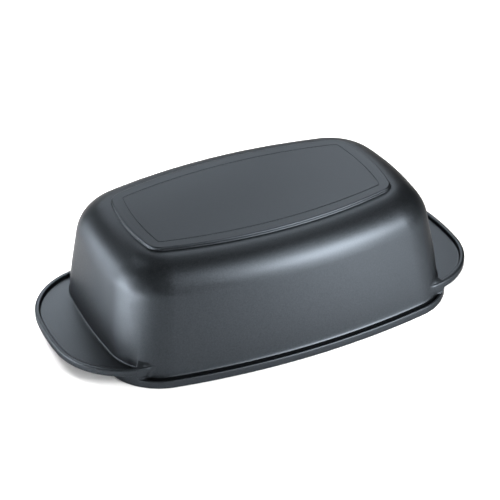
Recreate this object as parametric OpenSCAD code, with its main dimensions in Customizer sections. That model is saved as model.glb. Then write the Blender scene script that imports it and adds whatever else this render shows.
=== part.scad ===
// Cast roasting pan, standing upside down on its rim, in millimetres.
// X runs along the pan, Y across it, and Z up from the rim face to the base.

/* [Rim] */
// Length over the rim band, without the ears
rim_l = 332.5; // [300:0.5:360]
// Width over the rim band
rim_w = 224.8; // [200:0.2:250]
// Radius of the rim's long sides, which bulge a little
rim_side_r = 632; // [500:4:1200]
// Radius of the rim's ends
rim_end_r = 490; // [350:10:900]
// Radius of the rim's corners
rim_corner_r = 53.7; // [48:0.1:60]
// Height of the upright band
band_h = 7.6; // [6:0.1:8.4]
// Thickness of the band beside the channel
band_w = 2; // [1.6:0.1:2.6]
// Height of the channel's floor
channel_z = 3; // [2:0.1:4]
// Rounding of the rim's edges
rim_edge_r = 1; // [0.6:0.1:1.2]
// Rounding of the band's top
band_edge_r = 0.8; // [0.5:0.1:0.8]

/* [Wall] */
// Height at which the wall stands free above the channel
ledge_z = 8.8; // [8:0.1:10]
// Length over the wall at that height
wall_l = 325.2; // [300:0.2:330]
// Width over the wall at that height
wall_w = 213.4; // [200:0.2:216]
// Radius of the wall's long sides there
wall_side_r = 633; // [500:1:1200]
// Radius of the wall's ends there
wall_end_r = 556; // [350:2:900]
// Radius of the wall's corners
wall_corner_r = 50.8; // [46:0.1:56]
// Wall thickness
wall_t = 3.5; // [3:0.1:4.5]
// Depth by which the wall's foot is drawn in over the ears
dish = 1.6; // [0:0.1:1.8]
// Height above which the wall is straight again there
dish_top = 45; // [40:1:60]
// Draft of the long sides, in degrees
side_draft = 6.45; // [5:0.05:9]
// Draft of the ends, in degrees
end_draft = 8.65; // [6:0.05:11]
// Radius of the long sides at the shoulder
crown_side_r = 438; // [350:1:800]
// Radius of the ends at the shoulder
crown_end_r = 263; // [220:1:600]
// Radius of the shoulder between wall and base
shoulder_r = 26.7; // [18:0.1:30]

/* [Base] */
// Height of the base panel over the rim face
pan_h = 108.4; // [90:0.2:130]
// Height of the raised foot over the shoulder
foot_h = 3.2; // [2.4:0.1:4]
// Length of the foot
foot_l = 240.8; // [200:0.2:244]
// Width of the foot
foot_w = 132.4; // [116:0.2:138]
// Radius of the foot's long sides
foot_side_r = 386; // [300:1:800]
// Radius of the foot's ends
foot_end_r = 194; // [160:1:500]
// Corner radius of the foot
foot_corner_r = 15.2; // [11:0.1:22]
// Rounding of the foot's edge
foot_edge_r = 1.2; // [0.6:0.1:1.6]
// Thickness of the base through the foot
base_t = 6; // [5:0.1:8]
// Length of the scored line
line_l = 218.6; // [180:0.2:222]
// Width of the scored line's rectangle
line_w = 109.2; // [96:0.2:112]
// Radius of the scored line's long sides
line_side_r = 431; // [300:1:900]
// Radius of the scored line's ends
line_end_r = 255; // [160:1:500]
// Corner radius of the scored line
line_corner_r = 4.2; // [3:0.1:8]
// Width of the score
score_w = 1; // [0.6:0.1:1.6]
// Depth of the score
score_d = 0.5; // [0.3:0.1:0.8]

/* [Ears] */
// Length over both ears
ear_span = 400; // [384:1:416]
// Radius of the ears' outer edge
ear_end_r = 261; // [220:1:400]
// Radius of the ears' corners
ear_corner_r = 69.2; // [66:0.1:72]
// Distance from the middle to the centre of each ear corner
ear_y = 19.3; // [17:0.1:22]
// Height of the flat face under an ear
ear_z = 12; // [11:0.1:13]
// Thickness of the ear's plate
ear_t = 2.6; // [2.2:0.1:3.2]
// Height of the top of the bead
bead_z = 18.7; // [18:0.1:20]
// Width of the bead
bead_w = 4.4; // [3.8:0.1:5]
// Drop of the bead's round top to its sides
bead_round = 1.8; // [1:0.1:2]
// Rounding of the ear's lower edge
lip_r = 0.9; // [0.5:0.1:1.2]
// Fillet between the plate and the wall
plate_fillet = 1; // [0.8:0.1:1.6]
// Height on the wall of the sloping land that closes the recess
crest_z = 21.7; // [21:0.1:24]
// Turn round the rim's corner at which the recess ends, in degrees
land_a = 40; // [39:0.5:41]
// Turn round the rim's corner at which the face under an ear steps down to the ledge
step_a = 43; // [42.5:0.1:43.5]

/* [Hidden] */
coat = [0.27, 0.29, 0.32];

// Steps along one quarter: end, corner beside the ear, free corner, long side
steps_end = 5;
steps_ear = 7;
steps_free = 6;
steps_side = 6;
i_ear = steps_end + steps_ear;
i_side = i_ear + steps_free;
i_last = i_side + steps_side;

shoulder_z = pan_h - foot_h;
floor_z = pan_h - base_t;
plate_z = ear_z + ear_t;

function mix(a, b, t) = a + (b - a) * t;
function ease(t) = let (c = max(0, min(1, t))) c * c * (3 - 2 * c);
function polar(c, r, a) = [c[0] + r * cos(a), c[1] + r * sin(a)];

// An outline is [half length, half width, side radius, end radius, corner radius].
function inset(o, e) = [for (v = o) v - e];

// Centre of the corner arc that touches the end arc and the side arc from inside
function corner(o) =
    let (
        side_c = [0, o[1] - o[2]], side_d = o[2] - o[4],
        end_c = [o[0] - o[3], 0], end_d = o[3] - o[4],
        gap = end_c - side_c, d = norm(gap),
        along = (side_d ^ 2 - end_d ^ 2 + d ^ 2) / (2 * d),
        up = sqrt(side_d ^ 2 - along ^ 2), e = gap / d
    ) side_c + e * along + [e[1], -e[0]] * up;

// Angles at which an outline's corner arc meets its end and its side
function end_turn(o, c) = atan2(c[1], c[0] - o[0] + o[3]);
function side_turn(o, c) = atan2(c[1] - o[1] + o[2], c[0]);

rim_o = [rim_l / 2, rim_w / 2, rim_side_r, rim_end_r, rim_corner_r];
foot_o = [foot_l / 2, foot_w / 2, foot_side_r, foot_end_r, foot_corner_r];
line_o = [line_l / 2, line_w / 2, line_side_r, line_end_r, line_corner_r];

// Centre of the ear's corner arc, and where the ear's edge crosses the rim's
ear_turn = asin(ear_y / (ear_end_r - ear_corner_r));
ear_c = polar([ear_span / 2 - ear_end_r, 0], ear_end_r - ear_corner_r, ear_turn);
rim_c = corner(rim_o);
reach = ear_c - rim_c;
reach_d = norm(reach);
cross_cos = (rim_corner_r ^ 2 + reach_d ^ 2 - ear_corner_r ^ 2) / (2 * reach_d * rim_corner_r);
cross_a = atan2(reach[1], reach[0]) + acos(cross_cos);
rim_end_a = end_turn(rim_o, rim_c);
rim_side_a = side_turn(rim_o, rim_c);
ear_leaves = (cross_a - rim_end_a) / (rim_side_a - rim_end_a);

// Place of point i within its part, with shorter steps beside the crossing
function place(i) =
    i < steps_end ? i / steps_end
    : i < i_ear ? 1 - (1 - (i - steps_end) / steps_ear) ^ 1.6
    : i < i_side ? ((i - i_ear) / steps_free) ^ 1.7
    : (i - i_side) / steps_side;

// Direction that point i of an outline's first quarter faces
function aim(o, i) =
    let (c = corner(o), a = end_turn(o, c), b = side_turn(o, c), m = mix(a, b, ear_leaves))
    i < steps_end ? a * place(i)
    : i < i_ear ? mix(a, m, place(i))
    : i < i_side ? mix(m, b, place(i))
    : mix(b, 90, place(i));
function rim_point(o, i) =
    i < steps_end ? polar([o[0] - o[3], 0], o[3], aim(o, i))
    : i < i_side ? polar(corner(o), o[4], aim(o, i))
    : polar([0, o[1] - o[2]], o[2], aim(o, i));

// Turn of point i round the rim's corner, from 0 on the end to 90 on the side
function turn(i) = i < steps_end ? 0 : i < i_side ? aim(rim_o, i) : 90;

// Outer face of the wall at height z, drafted in from its foot
function wall_o(z) =
    let (up = z - ledge_z, s = up / (shoulder_z - ledge_z))
    [
        wall_l / 2 - up * tan(end_draft),
        wall_w / 2 - up * tan(side_draft),
        mix(wall_side_r, crown_side_r, s),
        mix(wall_end_r, crown_end_r, s),
        wall_corner_r
    ];

// Point i of the ear's edge inset by e, which runs on along its arc inside the rim
function to_arc(e, a) =
    let (along = -(cos(a) * reach[0] + sin(a) * reach[1]))
    -along + sqrt(along ^ 2 - reach_d ^ 2 + (ear_corner_r - e) ^ 2);
function ear_stop(e) = let (p = polar(rim_c, to_arc(e, cross_a), cross_a) - ear_c) atan2(p[1], p[0]);
function ear_edge(e, i) =
    i < steps_end ? polar([ear_span / 2 - ear_end_r, 0], ear_end_r - e, ear_turn * place(i))
    : i < i_ear ? polar(ear_c, ear_corner_r - e, mix(ear_turn, ear_stop(e), place(i)))
    : polar(rim_c, to_arc(e, turn(i)), turn(i));

// Turn of point i of the ear's edge round the rim's corner
function edge_turn(i) = i < i_ear ? let (p = ear_edge(0, i) - rim_c) atan2(p[1], p[0]) : turn(i);

// Turns over which the side's form takes over: step under the ear, bead, land and dish
step_span = 1.4;
bead_from = cross_a + 2;
bead_span = 24;
land_span = 3;
dish_from = 32;
dish_span = 16;
function over_step(i) = ease((edge_turn(i) - step_a) / step_span + 0.5);
function over_bead(i) = ease((turn(i) - bead_from) / bead_span);
function over_land(i) = ease((edge_turn(i) - land_a) / land_span + 0.5);

// Depth of the dish over an ear at height z, which fades out round the corner
function dish_at(z, i) =
    dish * max(0, min(1, (dish_top - z) / (dish_top - plate_z))) ^ 1.5
    * (1 - ease((turn(i) - dish_from) / dish_span));

// Point of the ear's section joined softly to the wall: e in from the ear's edge,
// f of fillet on the wall, height by the ear, height on the side, share of the side
function joined(e, f, ear_h, side_h, over, soft, i) =
    let (
        z = mix(ear_h, side_h, over), o = inset(wall_o(z), dish_at(z, i) - f),
        wall = rim_point(o, i), n = polar([0, 0], 1, aim(o, i))
    )
    i >= i_side ? [each wall, z]
    : let (gap = (ear_edge(e, i) - wall) * n, h = max(0, min(1, 0.5 + 0.5 * gap / soft)))
    [each mix(wall, ear_edge(e, i), h) + n * (0.5 * soft * h * (1 - h)), z];

// A quarter turned into a whole ring
function whole(q) = [
    for (p = q) p,
    for (k = [i_last - 1:-1:0]) [-q[k][0], q[k][1], q[k][2]],
    for (k = [1:i_last]) [-q[k][0], -q[k][1], q[k][2]],
    for (k = [i_last - 1:-1:1]) [q[k][0], -q[k][1], q[k][2]]
];
function level(o, z) = whole([for (i = [0:i_last]) [each rim_point(o, i), z]]);
function wall_ring(z) = whole([
    for (i = [0:i_last]) [each rim_point(inset(wall_o(z), dish_at(z, i)), i), z]
]);
function shoulder_ring(a, r, top, t) =
    let (z = top - r * (1 - sin(a)))
    level(inset(wall_o(z), t + r * (1 - cos(a))), z);

// Rim face, foot of the wall or of the ear's edge, and the gap between them
face_q = [for (i = [0:i_last]) rim_point(rim_o, i)];
foot_soft = 2.4;
bead_soft = 2;
recess_soft = 1;
foot_q = [for (i = [0:i_last]) joined(0, 0, ear_z, ledge_z, over_step(i), foot_soft, i)];
way_q = [for (i = [0:i_last]) [foot_q[i][0], foot_q[i][1]] - face_q[i]];
gap_q = [for (i = [0:i_last]) i < i_ear ? 0 : norm(way_q[i])];

// The channel opens over these gaps; where it is shut the face runs up plain, to just short of the foot
edge_span = 1.5;
shut_gap = 1.2;
open_span = 3.2;
plain_short = 0.25;

// Band's top, as [in from the face, height, share of the plain face under an ear]
b = band_edge_r;
band_section = [[0, band_h - b, 0], [b * 0.3, band_h - b * 0.3, 0.08], [b, band_h, 0.16]];
open_gap = band_w * 1.15;
function band_ring(s) = whole([
    for (i = [0:i_last])
        let (
            g = gap_q[i], at = i < i_ear ? 0 : s[0] / max(g, open_gap),
            plain = mix(band_h - b, foot_q[i][2] - plain_short, s[2])
        ) [each face_q[i] + way_q[i] * at, mix(plain, s[1], i < i_ear ? 0 : ease(g / edge_span))]
]);

// Channel, as [share of the way from band to wall, height, share of the plain face]
channel_section = [
    [0, band_h - b * 0.6, 0.4],
    [0.08, channel_z, 0.6],
    [0.92, channel_z, 0.76],
    [0.99, ledge_z - 0.6, 0.9]
];
function channel_ring(s) = whole([
    for (i = [0:i_last])
        let (
            g = gap_q[i], at = i < i_ear ? 0 : mix(band_w / max(g, open_gap), 1, s[0]),
            plain = mix(band_h - b, foot_q[i][2] - plain_short, s[2])
        ) [each face_q[i] + way_q[i] * at, mix(plain, s[1], ease((g - shut_gap) / open_span))]
]);

// Under face of an ear, just out from the rim, which elsewhere closes up to a low step
under_out = 0.8;
under_step = 0.1;
under_ring = whole([
    for (i = [0:i_last])
        let (d = norm(way_q[i]), at = i < i_ear ? min(under_out, d * 0.45) / d : 1)
        [each face_q[i] + way_q[i] * at, foot_q[i][2] - (i < i_ear ? 0 : under_step)]
]);

// Ear's lower edge, as [inset, rise]
lip_section = [[lip_r, 0], [lip_r * 0.3, lip_r * 0.3], [0, lip_r]];
function lip_ring(s) = whole([
    for (i = [0:i_last]) joined(s[0], 0, ear_z + s[1], ledge_z + s[1], over_step(i), foot_soft, i)
]);

// Bead, up from its outer side to its top, with rings that lie higher on the side
side_z = bead_z - 1.7;
side_rise = 1.8;
function bead_point(a, i) =
    joined(
        bead_w / 2 * (1 - cos(a)), 0, bead_z - bead_round * (1 - sin(a)), side_z + side_rise * a / 90,
        over_bead(i), bead_soft, i
    );
function bead_ring(a) = whole([for (i = [0:i_last]) bead_point(a, i)]);

// Land that closes the recess: s runs from the bead's top to a crest on the wall, and on up it;
// past the corner the crest is only a line on the wall, which rises clear of the bead's rings
crest_rise = 2.3;
rise_from = 60;
rise_span = 20;
function crest_point(up, i) =
    let (z = crest_z + up + crest_rise * ease((turn(i) - rise_from) / rise_span))
    [each rim_point(wall_o(z), i), z];
function land_point(s, i) =
    s < 1 ? mix(bead_point(90, i), crest_point(0, i), s) : crest_point(s - 1, i);

// Recess: inner side of the bead and plate, e in from the ear's edge at height z, then the
// fillet up to the wall, each with its share s of the land
function recess_ring(e, z, f, s) = whole([
    for (i = [0:i_last]) mix(joined(e, plate_fillet + f, z, z, 0, recess_soft, i), land_point(s, i), over_land(i))
]);
function fillet_ring(a, s) = whole([
    for (i = [0:i_last])
        let (
            z = plate_z + plate_fillet * (1 - cos(a)),
            o = inset(wall_o(z), dish_at(z, i) - plate_fillet * (1 - sin(a)))
        ) mix([each rim_point(o, i), z], land_point(s, i), over_land(i))
]);

inner_r = shoulder_r - wall_t;
er = rim_edge_r;
fe = foot_edge_r;
rings = [
    // Cavity, from the floor out and down to the rim
    for (a = [90:-15:15]) shoulder_ring(a, inner_r, floor_z, wall_t),
    level(inset(wall_o(er), wall_t), er),
    level(inset(wall_o(er * 0.3), wall_t - er * 0.3), er * 0.3),
    level(inset(wall_o(0), wall_t - er), 0),
    // Rim band and channel
    level(inset(rim_o, er), 0),
    level(inset(rim_o, er * 0.3), er * 0.3),
    level(rim_o, er),
    for (s = band_section) band_ring(s),
    for (s = channel_section) channel_ring(s),
    // Ears
    under_ring,
    for (s = lip_section) lip_ring(s),
    for (a = [0:30:90]) bead_ring(a),
    recess_ring(bead_w * 0.75, bead_z - bead_round * 0.14, 0.8, 0.15),
    recess_ring(bead_w * 0.94, bead_z - bead_round * 0.5, 0.7, 0.3),
    recess_ring(bead_w, bead_z - bead_round, 0.6, 0.45),
    recess_ring(bead_w + 0.4, plate_z + 0.8, 0.5, 0.6),
    recess_ring(bead_w + 1.4, plate_z, 0.3, 0.75),
    for (k = [0:2]) fillet_ring(k * 45, 0.85 + k * 0.4),
    // Wall and shoulder
    for (k = [0.3, 0.6, 1]) wall_ring(mix(crest_z, dish_top, k)),
    level(wall_o(shoulder_z - shoulder_r * 1.6), shoulder_z - shoulder_r * 1.6),
    for (a = [10:11:87]) shoulder_ring(a, shoulder_r, shoulder_z, 0),
    // Raised foot
    level(inset(foot_o, -1.6), shoulder_z),
    level(inset(foot_o, -0.5), shoulder_z + 0.4),
    level(foot_o, shoulder_z + 1.2),
    level(foot_o, pan_h - fe),
    level(inset(foot_o, fe * 0.3), pan_h - fe * 0.3),
    level(inset(foot_o, fe), pan_h),
    // Scored line
    level(inset(line_o, -score_w / 2), pan_h),
    level(line_o, pan_h - score_d),
    level(inset(line_o, score_w / 2), pan_h)
];

// The casting: one closed skin through all the rings, with the floor and the panel as its ends
module roasting_pan() {
    n = len(rings[0]);
    last = len(rings) - 1;
    skin = [
        for (k = [0:last - 1], i = [0:n - 1])
            let (j = (i + 1) % n)
            each [[k * n + i, (k + 1) * n + i, k * n + j], [k * n + j, (k + 1) * n + i, (k + 1) * n + j]]
    ];
    floor_face = [for (i = [0:n - 1]) i];
    panel_face = [for (i = [n - 1:-1:0]) last * n + i];
    color(coat) polyhedron([for (r = rings) each r], concat(skin, [floor_face, panel_face]), convexity = 6);
}

roasting_pan();
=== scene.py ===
import math

import bpy
import numpy as np
from mathutils import Matrix, Vector


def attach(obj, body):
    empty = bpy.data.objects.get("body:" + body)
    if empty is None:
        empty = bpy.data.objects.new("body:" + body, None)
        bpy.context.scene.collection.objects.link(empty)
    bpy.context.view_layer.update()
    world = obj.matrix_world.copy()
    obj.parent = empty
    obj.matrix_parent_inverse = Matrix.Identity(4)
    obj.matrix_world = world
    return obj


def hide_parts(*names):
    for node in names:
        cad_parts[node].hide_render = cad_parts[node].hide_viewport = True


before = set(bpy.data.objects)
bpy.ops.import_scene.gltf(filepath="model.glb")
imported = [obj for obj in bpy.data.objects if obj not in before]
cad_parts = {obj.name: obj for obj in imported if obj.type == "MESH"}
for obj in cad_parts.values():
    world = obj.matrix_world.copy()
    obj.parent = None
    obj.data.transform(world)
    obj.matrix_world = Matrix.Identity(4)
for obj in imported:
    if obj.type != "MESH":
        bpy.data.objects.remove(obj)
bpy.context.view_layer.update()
print("frame loaded")


# sRGB hex to linear RGBA
def hexColor(text):
    parts = [int(text[k:k + 2], 16) / 255 for k in (1, 3, 5)]
    return [v / 12.92 if v <= 0.04045 else ((v + 0.055) / 1.055) ** 2.4 for v in parts] + [1.0]


# Roasting pan, in millimetres and degrees, upside down on its rim.
# An outline is [half length, half width, side radius, end radius, corner radius].
pan = {
    "height": 108.4, "footHeight": 3.2, "wallThick": 3.5, "baseThick": 6.0,
    "rim": [332.5 / 2, 224.8 / 2, 632, 490, 53.7], "rimRound": 1.0,
    "wall": [325.2 / 2, 213.4 / 2, 633, 556, 50.8],
    # side and end radius at the top of the wall, which leans in by its draft
    "crowsideStepsR": 438, "crowendStepsR": 263, "sideDraft": 6.45, "endDraft": 8.65, "shoulderR": 26.7,
    # the wall's foot flares out a little to a crisp edge over the channel
    "ledgeZ": 8.8, "flare": 0.9, "flareHeight": 1.2,
    # over the ears the wall's foot is drawn in a little
    "dish": 1.6, "dishTop": 45.0, "dishFall": 30, "dishCurve": 1.5, "dishTurn": (35, 46),
    # steps along a quarter: end, corner beside the ear, free corner, long side
    "steps": (14, 60, 44, 16),
    # the steps lie closer together beside the place where the ear leaves the rim
    "crowdEar": 1.6, "crowdFree": 1.7,
}

ear = {
    "reach": 200, "endR": 261, "cornerR": 69.2, "cornerY": 19.3, "underside": 12.0, "thick": 2.6,
    "beadZ": 18.7, "plateFillet": 1.0,
    # turn round the rim's corner over which the step under the ear comes down to the ledge
    "stepTurn": (42.4, 43.8), "join": 2.4,
    # turn past the place where the ear leaves the rim, over which the bead takes the side's height
    "beadTurn": (2, 26),
    # rays from the rim's corner to the ear's arc turn no further than this
    "lastRay": 88,
    # in from the edge, rise by the ear, rise on the side
    "lip": [(0.9, 0, 0), (0.35, 0.12, 0.15), (0.08, 0.4, 0.4), (0, 0.8, 0.8), (0, 1.3, 1.4), (0, 2.0, 2.4),
            (0, 3.0, 4.2)],
    # in from the edge, below the bead's top, height on the side, width of the join
    "bead": [(0, 2.2, 17.0, 2.2), (0.1, 1.4, 18.0, 2.4), (0.45, 0.65, 18.9, 2.6), (1.1, 0.18, 19.5, 2.8),
             (1.9, 0, 19.9, 2.8)],
    # inner side of the bead: in from the edge, below the bead's top, more fillet on the wall
    "recess": [(2.7, 0, 1.4), (3.4, 0.08, 1.35), (3.9, 0.35, 1.3), (4.25, 0.9, 1.2), (4.45, 1.6, 1.1),
               (4.6, 2.9, 0.9), (4.8, 3.6, 0.6), (5.2, 4.0, 0.4), (5.9, 4.1, 0.2)],
    "recessJoin": 0.8, "filletRings": 5,
    # the plate is flat between these shares of the way from the bead to the wall
    "flat": (0.05, 0.95),
}


def mix(a, b, t):
    return a + (b - a) * t


def ease(t):
    c = np.clip(t, 0, 1)
    return c * c * (3 - 2 * c)


def inset(outline, e):
    return [v - e for v in outline]


# Centre of an outline's corner arc
def cornerOf(outline):
    halfLength, halfWidth, sideR, endR, cornerR = [np.asarray(v, float) for v in outline]
    gapX, gapY = halfLength - endR, sideR - halfWidth
    gap = np.hypot(gapX, gapY)
    along = ((sideR - cornerR) ** 2 - (endR - cornerR) ** 2 + gap ** 2) / (2 * gap)
    up = np.sqrt((sideR - cornerR) ** 2 - along ** 2)
    unitX, unitY = gapX / gap, gapY / gap
    return unitX * along + unitY * up, halfWidth - sideR + unitY * along - unitX * up


endSteps, earSteps, freeSteps, sideSteps = pan["steps"]
part = np.r_[np.zeros(endSteps), np.ones(earSteps), np.full(freeSteps, 2), np.full(sideSteps + 1, 3)]
share = np.r_[
    np.arange(endSteps) / endSteps,
    1 - (1 - np.arange(earSteps) / earSteps) ** pan["crowdEar"],
    (np.arange(freeSteps) / freeSteps) ** pan["crowdFree"],
    np.arange(sideSteps + 1) / sideSteps,
]

earTurn = math.asin(ear["cornerY"] / (ear["endR"] - ear["cornerR"]))
earCentre = np.array([
    ear["reach"] - ear["endR"] + (ear["endR"] - ear["cornerR"]) * math.cos(earTurn), ear["cornerY"]])
rimCentre = np.array(cornerOf(pan["rim"]))
rimCornerR = pan["rim"][4]
toEar = earCentre - rimCentre
toEarLength = float(np.hypot(*toEar))
# angle round the rim's corner where the ear's edge crosses the rim's edge
splitAngle = math.atan2(toEar[1], toEar[0]) + math.acos(
    (rimCornerR ** 2 + toEarLength ** 2 - ear["cornerR"] ** 2) / (2 * toEarLength * rimCornerR))
splitDegrees = math.degrees(splitAngle)


# Angles at which an outline's corner arc starts and ends
def turns(outline):
    halfLength, halfWidth, sideR, endR, cornerR = outline
    cx, cy = cornerOf(outline)
    return np.arctan2(cy, cx - halfLength + endR), np.arctan2(cy - halfWidth + sideR, cx)


rimFrom, rimTo = turns(pan["rim"])
earLeaves = (splitAngle - rimFrom) / (rimTo - rimFrom)


# One quarter of an outline, and the direction that each of its points faces
def quarter(outline):
    halfLength, halfWidth, sideR, endR, cornerR = outline
    cx, cy = cornerOf(outline)
    endAngle, sideAngle = turns(outline)
    middle = mix(endAngle, sideAngle, earLeaves)
    angle = np.select(
        [part == 0, part == 1, part == 2],
        [endAngle * share, mix(endAngle, middle, share), mix(middle, sideAngle, share)],
        mix(sideAngle, np.pi / 2, share))
    radius = np.select([part == 0, part == 3], [endR, sideR], cornerR)
    ox = np.select([part == 0, part == 3], [halfLength - endR, 0], cx)
    oy = np.select([part == 0, part == 3], [0, halfWidth - sideR], cy)
    facing = np.stack([np.cos(angle), np.sin(angle)], -1)
    return np.stack([ox, oy], -1) + facing * radius[:, None], facing


rimEdge = quarter(pan["rim"])[0]
rimAngle = np.arctan2(rimEdge[:, 1] - rimCentre[1], rimEdge[:, 0] - rimCentre[0])
degrees = np.select([part == 0, part == 3], [0.0, 90.0], np.degrees(rimAngle))


# Outer face of the drafted wall at height z
def wallOutline(z):
    halfLength, halfWidth, sideR, endR, cornerR = pan["wall"]
    up = z - pan["ledgeZ"]
    s = up / (pan["height"] - pan["footHeight"] - pan["ledgeZ"])
    return [
        halfLength - up * math.tan(math.radians(pan["endDraft"])),
        halfWidth - up * math.tan(math.radians(pan["sideDraft"])),
        mix(sideR, pan["crowsideStepsR"], s),
        mix(endR, pan["crowendStepsR"], s),
        cornerR + 0 * up,
    ]


# How far the wall is drawn in over the ears at height z
def dish(z):
    first, last = pan["dishTurn"]
    beside = 1 - ease((degrees - first) / (last - first))
    down = np.clip((pan["dishTop"] - z) / pan["dishFall"], 0, 1)
    return pan["dish"] * down ** pan["dishCurve"] * beside


# Ear's edge, inset by e: its own arcs, then rays from the rim's corner to the same arc
def earEdge(e):
    def reach(angle):
        along = np.cos(angle) * -toEar[0] + np.sin(angle) * -toEar[1]
        return -along + np.sqrt(along ** 2 - toEarLength ** 2 + (ear["cornerR"] - e) ** 2)

    split = np.array([math.cos(splitAngle), math.sin(splitAngle)])
    stop = rimCentre + reach(splitAngle) * split - earCentre
    endAngle = earTurn * share
    turnAngle = mix(earTurn, math.atan2(stop[1], stop[0]), share)
    rayAngle = np.minimum(rimAngle, math.radians(ear["lastRay"]))
    outer, inner, ray = ear["endR"] - e, ear["cornerR"] - e, reach(rayAngle)
    beside = [part == 0, part == 1, part == 2]
    x = np.select(beside, [
        ear["reach"] - ear["endR"] + outer * np.cos(endAngle),
        earCentre[0] + inner * np.cos(turnAngle),
        rimCentre[0] + ray * np.cos(rayAngle)], 0)
    y = np.select(beside, [
        outer * np.sin(endAngle),
        earCentre[1] + inner * np.sin(turnAngle),
        rimCentre[1] + ray * np.sin(rayAngle)], 0)
    return np.stack([x, y], -1)


# Turn of each point of xy round the rim's corner, in degrees
def turnOf(xy):
    away = xy[:, :2] - rimCentre
    return np.degrees(np.arctan2(away[:, 1], away[:, 0]))


edgeTurn = np.select([part < 2, part == 2], [turnOf(earEdge(0)), degrees], 90)


# Ear section joined smoothly to the wall: e in from the ear's edge, f of fillet on the wall,
# height by the ear, height on the side, how far the second has taken over, width of the join
def earRing(e, f, earHeight, sideHeight, over, join):
    z = mix(earHeight, sideHeight, over)
    flare = pan["flare"] * over * np.exp((pan["ledgeZ"] - z) / pan["flareHeight"])
    wall, facing = quarter(inset(wallOutline(z), dish(z) - f * (1 - over) - flare))
    edge = earEdge(e)
    # the long side has no ear, so its edge counts as far inside the wall
    gap = np.where(part == 3, -1e3, ((edge - wall) * facing).sum(-1))
    h = np.clip(0.5 + 0.5 * gap / join, 0, 1)
    xy = wall + (edge - wall) * h[:, None] + facing * (0.5 * join * h * (1 - h))[:, None]
    return np.c_[xy, z]


def fade(first, last, angle=edgeTurn):
    return ease((angle - first) / (last - first))


def level(outline, z):
    xy = quarter(outline)[0]
    return np.c_[xy, np.full(len(xy), float(z))]


def shoulderRing(angle, radius, top, thick):
    z = top - radius * (1 - math.sin(angle))
    return level(inset(wallOutline(z), thick + radius * (1 - math.cos(angle))), z)


def arcAngles(first, last, count):
    return np.radians(np.linspace(first, last, count))


# Inside, from the floor down to the rim. The first ring lies further in, so that the floor stays flat.
# Angles of the shoulder and heights on the wall are given as first, last and count.
cavity = {"floorIn": 2, "shoulder": (84, 4, 14), "wall": (70, 4, 7), "edgeRings": 4}


def cavityRings():
    thick = pan["wallThick"]
    innerR = pan["shoulderR"] - thick
    floorZ = pan["height"] - pan["baseThick"]
    rings = [level(inset(wallOutline(floorZ), thick + innerR + cavity["floorIn"]), floorZ)]
    rings.append(shoulderRing(math.pi / 2, innerR, floorZ, thick))
    rings += [shoulderRing(a, innerR, floorZ, thick) for a in arcAngles(*cavity["shoulder"])]
    rings += [level(inset(wallOutline(z), thick), z) for z in np.linspace(*cavity["wall"])]
    r = pan["rimRound"]
    for a in arcAngles(0, 90, cavity["edgeRings"]):
        rings.append(level(inset(wallOutline(r), thick - r * (1 - math.cos(a))), r * (1 - math.sin(a))))
    return rings


# Rim band and the open channel behind it. Both open over the gap between the rim's edge and the wall.
# Where that gap shuts, under an ear, the band's face runs up plain to just short of the ear.
band = {"height": 7.6, "width": 2.0, "round": 0.8, "faceRings": 4, "openShare": 1.15, "openSpan": 1.5}
channel = {"floor": 3.0, "shutGap": 1.2, "openSpan": 3.2, "plainShort": 0.25}
# The under face starts just out from the rim. Beside the ears it closes up to a low step.
underFace = {"out": 0.8, "mostShare": 0.45, "step": 0.1}
# keeps lengths that are divided by above zero
tiny = 1e-6


def rimRings():
    r, t, top, floor = pan["rimRound"], band["round"], band["height"], channel["floor"]
    rings = []
    for a in arcAngles(0, 90, band["faceRings"]):
        rings.append(level(inset(pan["rim"], r * (1 - math.sin(a))), r * (1 - math.cos(a))))
    quick = fade(*ear["stepTurn"])
    lower = earRing(0, 0, ear["underside"], pan["ledgeZ"], quick, ear["join"])
    toWall = lower[:, :2] - rimEdge
    lowerZ = lower[:, 2]
    length = np.maximum(np.hypot(*toWall.T), tiny)
    beyond = part >= 2
    gap = np.where(beyond, np.hypot(*toWall.T), 0)
    wide = np.maximum(gap, band["width"] * band["openShare"])

    # the band's rounded top: in from its face, height, share of the plain face
    for e, z, plain in [(0, top - t, 0), (t * 0.3, top - t * 0.3, 0.08), (t, top, 0.16)]:
        at = e / wide * beyond
        plainZ = mix(top - t, lowerZ - channel["plainShort"], plain)
        z = mix(plainZ, z, ease(gap / band["openSpan"]) * beyond)
        rings.append(np.c_[rimEdge + toWall * at[:, None], z])
    # the channel: share of the way from the band to the wall, back from it, height, share of the plain
    # face. Its inner side is set back under the wall's foot. At the four corners, where the channel runs
    # out, that side and the ear's lip pass through each other by about half a millimetre.
    deep = ease((gap - channel["shutGap"]) / channel["openSpan"])
    for at, back, z, plain in [(0, 0.5, top, 0.3), (0, 0.12, top - 0.15, 0.4), (0, 0, top - 0.5, 0.5),
                               (0.04, 0, floor + 0.6, 0.58), (0.2, 0, floor, 0.66), (1.0, 0, floor, 0.74),
                               (1.2, 0, floor + 0.8, 0.82), (1.02, 0, pan["ledgeZ"] - 0.4, 0.9)]:
        s = (mix(band["width"] / wide, 1, at) - back / wide) * beyond
        plainZ = mix(top - t, lowerZ - channel["plainShort"], plain)
        rings.append(np.c_[rimEdge + toWall * s[:, None], mix(plainZ, z, deep)])
    # under face of the ear
    out = np.minimum(underFace["out"], length * underFace["mostShare"]) / length
    s = np.where(beyond, 1, out)
    rings.append(np.c_[rimEdge + toWall * s[:, None], lowerZ - underFace["step"] * beyond])
    return rings


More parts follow.
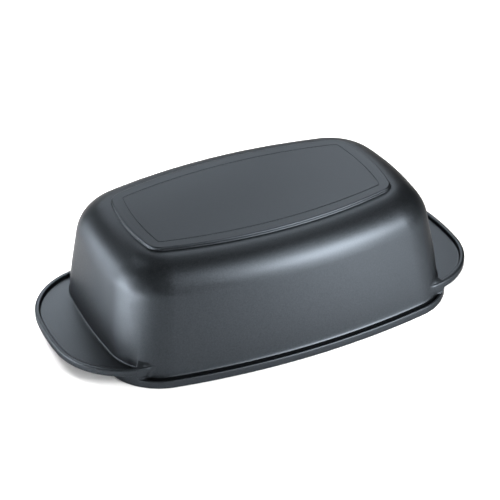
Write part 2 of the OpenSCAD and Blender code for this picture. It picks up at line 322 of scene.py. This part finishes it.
# The recess ends in a sloping land beside the rim's corner: bead height to a crest on the wall.
# The crest starts out low and rises over lowTurn, dips over dipTurn and lifts over liftTurn.
land = {
    "turn": (38.2, 39.8), "skew": 3.5, "crest": 21.7, "fillet": 0.8, "mostShare": 0.4,
    "low": 2.6, "lowTurn": (38.2, 42), "dip": 0.5, "dipTurn": (50, 60), "lift": 2.8, "liftTurn": (60, 80),
}


def bend(start, corner, end, u):
    return mix(mix(start, corner, u), mix(corner, end, u), u)


def wallPoints(z):
    return np.c_[quarter(wallOutline(z))[0], z]


# Inner side of the bead, flat plate and fillet up the wall
def recessRings():
    bead, f = ear["beadZ"], ear["plateFillet"]
    noShare = np.zeros(len(part))
    rings = []
    for e, down, more in ear["recess"]:
        rings.append(earRing(e, f + more, bead - down, bead - down, noShare, ear["recessJoin"]))
    foot = []
    for a in arcAngles(0, 90, ear["filletRings"]):
        z = ear["underside"] + ear["thick"] + f * (1 - math.cos(a))
        foot.append(level(inset(wallOutline(z), dish(z) - f * (1 - math.sin(a))), z))
    flat = [mix(rings[-1], foot[0], s) for s in ear["flat"]]
    return rings + flat + foot


# The land, with as many rings as the recess that it closes
def landRings(beadTop, count):
    crestZ = land["crest"] - land["low"] * (1 - fade(*land["lowTurn"], degrees))
    crestZ = crestZ - land["dip"] * fade(*land["dipTurn"]) + land["lift"] * fade(*land["liftTurn"])
    crest = wallPoints(crestZ)
    above = wallPoints(crestZ + land["fillet"])
    slope = crest - beadTop
    length = np.maximum(np.linalg.norm(slope, axis=1), tiny)[:, None]
    near = crest - slope / length * np.minimum(land["fillet"], length * land["mostShare"])
    bends = ear["filletRings"]
    flat = count - bends
    rings = [mix(beadTop, near, (k + 1) / (flat + 1)) for k in range(flat)]
    return rings + [bend(near, crest, above, k / (bends - 1)) for k in range(bends)]


def earRings():
    z0, ledge, bead = ear["underside"], pan["ledgeZ"], ear["beadZ"]
    quick = fade(*ear["stepTurn"])
    first, last = ear["beadTurn"]
    slow = fade(splitDegrees + first, splitDegrees + last)
    rings = [earRing(e, 0, z0 + up, ledge + sideUp, quick, ear["join"]) for e, up, sideUp in ear["lip"]]
    rings += [earRing(e, 0, bead - down, sideZ, slow, join) for e, down, sideZ, join in ear["bead"]]

    recess = recessRings()
    sloping = landRings(rings[-1], len(recess))
    # the recess reaches a little further round beside the bead than beside the wall
    first, last = land["turn"]
    for k, (a, b) in enumerate(zip(recess, sloping)):
        angle = np.where(part == 3, 90, turnOf(a))
        late = land["skew"] * (1 - k / (len(recess) - 1))
        rings.append(mix(a, b, fade(first + late, last + late, angle)[:, None]))
    return rings


# Wall from over the ear up to the shoulder, and the round shoulder
wall = {"from": 26, "below": 4, "rings": 14, "shoulder": (2, 86, 22)}


def wallRings():
    shoulderZ = pan["height"] - pan["footHeight"]
    last = shoulderZ - pan["shoulderR"] - wall["below"]
    heights = np.linspace(wall["from"], last, wall["rings"])
    rings = [level(inset(wallOutline(z), dish(z)), z) for z in heights]
    return rings + [shoulderRing(a, pan["shoulderR"], shoulderZ, 0) for a in arcAngles(*wall["shoulder"])]


# Raised foot of the base, and the scored line on its panel
base = {
    "outline": [120.4, 66.2, 386, 194, 15.2], "round": 1.2, "roundRings": 6, "flatIn": 0.6,
    # fillet at the foot: in from its edge, up from the shoulder
    "fillet": [(-2.0, 0), (-1.25, 0.05), (-0.7, 0.17), (-0.32, 0.42), (-0.08, 0.8), (0, 1.2)],
    "line": [109.3, 54.65, 431, 255, 4.2], "lineWidth": 1.0, "lineDepth": 0.5,
    # across the line, as shares of its width and depth
    "lineSection": [(-0.9, 0), (-0.5, 0), (-0.3, 0.12), (0, 1), (0.3, 0.12), (0.5, 0), (0.9, 0)],
}


def baseRings():
    top, r = pan["height"], base["round"]
    rows = [(e, top - pan["footHeight"] + up) for e, up in base["fillet"]]
    for a in arcAngles(0, 90, base["roundRings"]):
        rows.append((r * (1 - math.cos(a)), top - r * (1 - math.sin(a))))
    rows += [(r + base["flatIn"], top)]
    rings = [level(inset(base["outline"], e), z) for e, z in rows]
    for e, down in base["lineSection"]:
        rings.append(level(inset(base["line"], e * base["lineWidth"]), top - down * base["lineDepth"]))
    return rings


# A quarter turned into a whole ring
def wholeRing(q):
    flipX, flipY = np.array([-1, 1, 1]), np.array([1, -1, 1])
    return np.vstack([q, (q * flipX)[::-1][1:], (q * flipX * flipY)[1:], (q * flipY)[::-1][1:-1]])


def makePan(material):
    rings = [wholeRing(q) for q in cavityRings() + rimRings() + earRings() + wallRings() + baseRings()]
    count = len(rings[0])
    points = np.vstack(rings) / 1000
    i = np.arange(count)
    j = (i + 1) % count
    quads = [np.stack([k * count + i, k * count + j, (k + 1) * count + j, (k + 1) * count + i], -1)
             for k in range(len(rings) - 1)]
    faces = [list(q) for q in np.vstack(quads).tolist()]
    # the cavity's floor and the panel close the two ends of the skin
    faces.append(i[::-1].tolist())
    faces.append(((len(rings) - 1) * count + i).tolist())
    mesh = bpy.data.meshes.new("panShell")
    mesh.from_pydata(points.tolist(), [], faces)
    mesh.validate()
    mesh.shade_smooth()
    mesh.materials.append(material)
    piece = bpy.data.objects.new("panShell", mesh)
    bpy.context.scene.collection.objects.link(piece)
    print("pan shell", len(rings), "rings of", count)
    return piece


# Adds a node with its settings, and links its inputs
def addNode(tree, kind, settings=None, values=None, links=None):
    node = tree.nodes.new(kind)
    for key, value in (settings or {}).items():
        setattr(node, key, value)
    for key, value in (values or {}).items():
        node.inputs[key].default_value = value
    for key, socket in (links or {}).items():
        tree.links.new(socket, node.inputs[key])
    return node


# Coated cast aluminium: a sprayed anthracite non-stick layer with metal flakes over a blasted casting.
# The eye sees a satin dark grey that mirrors the studio in soft, wide highlights, and a faint fine grain.
coating = {
    "dark": "#2c3033", "light": "#42464b", "gloss": "#b3b1af", "metallic": 1.0, "ior": 1.45,
    # some grains are smoother than others, so that a highlight has a bright core and a wide, soft rim
    "smooth": 0.36, "rough": 0.47, "smoothGrain": 0.3, "roughGrain": 0.7,
    # one spray grain is about 1.2 mm here, coarser than the real one so that it shows
    "grain": 1.2, "grainDetail": 3.0, "grainRoughness": 0.6, "bump": 0.03, "bumpStrength": 0.25,
}


def coatedAluminium():
    material = bpy.data.materials.new("coated cast aluminium")
    material.use_nodes = True
    tree = material.node_tree
    tree.nodes.clear()
    place = addNode(tree, "ShaderNodeTexCoord").outputs["Object"]
    grain = addNode(
        tree, "ShaderNodeTexNoise", {},
        {"Scale": 1000 / coating["grain"], "Detail": coating["grainDetail"],
         "Roughness": coating["grainRoughness"]},
        {"Vector": place}).outputs["Fac"]
    # sockets 6, 7 and output 2 are the two colours and the result of a colour mix
    color = addNode(
        tree, "ShaderNodeMix", {"data_type": "RGBA"},
        {6: hexColor(coating["dark"]), 7: hexColor(coating["light"])}, {0: grain}).outputs[2]
    rough = addNode(
        tree, "ShaderNodeMapRange", {},
        {"From Min": coating["smoothGrain"], "From Max": coating["roughGrain"],
         "To Min": coating["smooth"], "To Max": coating["rough"]}, {"Value": grain}).outputs["Result"]
    bump = addNode(
        tree, "ShaderNodeBump", {},
        {"Strength": coating["bumpStrength"], "Distance": coating["bump"] / 1000},
        {"Height": grain}).outputs["Normal"]
    shader = addNode(
        tree, "ShaderNodeBsdfPrincipled", {},
        {"Metallic": coating["metallic"], "IOR": coating["ior"],
         "Specular Tint": hexColor(coating["gloss"])},
        {"Base Color": color, "Roughness": rough, "Normal": bump})
    addNode(tree, "ShaderNodeOutputMaterial", {}, {}, {"Surface": shader.outputs["BSDF"]})
    return material


shell = makePan(coatedAluminium())
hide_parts("roasting_pan")
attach(shell, "root")

# Studio, in metres: pale paper floor, soft lights aimed at the middle of the pan
studio = {
    "floor": "#f4f4f4", "floorRough": 0.9, "floorReach": 6.0, "world": 0.14,
    "aim": (0, 0, 0.05), "distance": 1.5, "size": (0.5, 0.5), "lampSize": (0.3, 0.3),
}


# Matt white paper, which the floor lamps light to a plain white round the pan
def palePaper():
    material = bpy.data.materials.new("pale paper")
    material.use_nodes = True
    shader = material.node_tree.nodes["Principled BSDF"]
    shader.inputs["Base Color"].default_value = hexColor(studio["floor"])
    shader.inputs["Roughness"].default_value = studio["floorRough"]
    return material


def makeFloor():
    mesh = bpy.data.meshes.new("studioFloor")
    s = studio["floorReach"]
    mesh.from_pydata([(-s, -s, 0), (s, -s, 0), (s, s, 0), (-s, s, 0)], [], [(0, 1, 2, 3)])
    mesh.materials.append(palePaper())
    piece = bpy.data.objects.new("studioFloor", mesh)
    bpy.context.scene.collection.objects.link(piece)


# Soft boxes: azimuth and elevation round the pan, and power in watts. Distance and size are the
# studio's, unless the box has its own.
softBoxes = [
    {"name": "frontRight", "azimuth": 33, "elevation": 26, "size": (0.8, 0.5), "power": 38},
    {"name": "frontLow", "azimuth": 30, "elevation": 8, "power": 8.7},
    {"name": "frontHigh", "azimuth": 15, "elevation": 45, "power": 4.2},
    {"name": "left", "azimuth": -105, "elevation": 8, "power": 15},
    {"name": "backLeft", "azimuth": -137, "elevation": 8, "power": 13},
    {"name": "back", "azimuth": 180, "elevation": 26, "power": 3.7},
    {"name": "backRight", "azimuth": 150, "elevation": 45, "power": 4.9},
    {"name": "backLow", "azimuth": 165, "elevation": 5, "size": (1.6, 0.2), "power": 5.5},
    {"name": "earRight", "azimuth": 142, "elevation": 27, "distance": 0.95, "size": (0.25, 0.25),
     "power": 1.4},
    {"name": "earLeft", "azimuth": 169, "elevation": 32, "distance": 0.9, "size": (0.25, 0.25),
     "power": 0.45},
    {"name": "top", "azimuth": 120, "elevation": 66, "power": 1.2},
]

# Lamps that hang over the floor and point straight down: azimuth and distance out from the pan, height,
# power and spread. The bright floor lights the walls from below and keeps the ground white.
floorLamps = [
    {"name": "floorLeft", "azimuth": -90, "out": 0.9, "height": 0.5, "power": 55, "spread": 100},
    {"name": "floorBackLeft", "azimuth": -120, "out": 0.45, "height": 0.4, "power": 2.6, "spread": 80},
    {"name": "floorFront", "azimuth": 32, "out": 0.37, "height": 0.3, "power": 1.05, "spread": 75},
    {"name": "floorRight", "azimuth": 45, "out": 0.9, "height": 0.5, "power": 3, "spread": 100},
    {"name": "floorBack", "azimuth": 180, "out": 0.45, "height": 0.4, "power": 4, "spread": 100},
]


# Direction from the pan to a light or the camera, azimuth 0 in front
def direction(azimuth, elevation):
    a, e = math.radians(azimuth), math.radians(elevation)
    return Vector((math.sin(a) * math.cos(e), -math.cos(a) * math.cos(e), math.sin(e)))


def addLight(name, size, power):
    light = bpy.data.lights.new(name, "AREA")
    light.shape = "RECTANGLE"
    light.size, light.size_y = size
    light.energy = power
    piece = bpy.data.objects.new(name, light)
    bpy.context.scene.collection.objects.link(piece)
    piece.visible_camera = False
    return piece


def makeLights():
    for box in softBoxes:
        piece = addLight(box["name"], box.get("size", studio["size"]), box["power"])
        back = direction(box["azimuth"], box["elevation"])
        piece.location = Vector(studio["aim"]) + back * box.get("distance", studio["distance"])
        piece.rotation_euler = back.to_track_quat("Z", "Y").to_euler()
    for lamp in floorLamps:
        piece = addLight(lamp["name"], studio["lampSize"], lamp["power"])
        piece.data.spread = math.radians(lamp["spread"])
        a = math.radians(lamp["azimuth"])
        piece.location = (math.sin(a) * lamp["out"], -math.cos(a) * lamp["out"], lamp["height"])


# An even, weak light from all sides
def makeWorld():
    world = bpy.data.worlds.new("studio")
    bpy.context.scene.world = world
    world.use_nodes = True
    background = world.node_tree.nodes["Background"]
    background.inputs["Color"].default_value = (1, 1, 1, 1)
    background.inputs["Strength"].default_value = studio["world"]


# Camera at the photograph's angle, aimed at a point of the pan, in metres and degrees.
# Its lens is given as the focal length in pixels of a square picture.
view = {
    "azimuth": -24.39, "elevation": 32.11, "roll": -1.45,
    "distance": 1.60787, "target": (-0.00278, 0, 0.04774),
    "focalPixels": 1789.19, "picturePixels": 500, "sensor": 36, "clip": (0.05, 50),
}


def makeCamera():
    data = bpy.data.cameras.new("camera")
    data.sensor_width = view["sensor"]
    data.lens = view["focalPixels"] * view["sensor"] / view["picturePixels"]
    data.clip_start, data.clip_end = view["clip"]
    piece = bpy.data.objects.new("camera", data)
    bpy.context.scene.collection.objects.link(piece)
    back = direction(view["azimuth"], view["elevation"])
    right = (-back).cross(Vector((0, 0, 1))).normalized()
    up = right.cross(-back)
    roll = math.radians(view["roll"])
    turnedRight = right * math.cos(roll) + up * math.sin(roll)
    turnedUp = up * math.cos(roll) - right * math.sin(roll)
    axes = Matrix((turnedRight, turnedUp, back)).transposed().to_4x4()
    piece.matrix_world = Matrix.Translation(Vector(view["target"]) + back * view["distance"]) @ axes
    bpy.context.scene.camera = piece


bpy.context.scene.view_settings.view_transform = "Standard"
makeFloor()
makeLights()
makeWorld()
makeCamera()
print("studio ready")
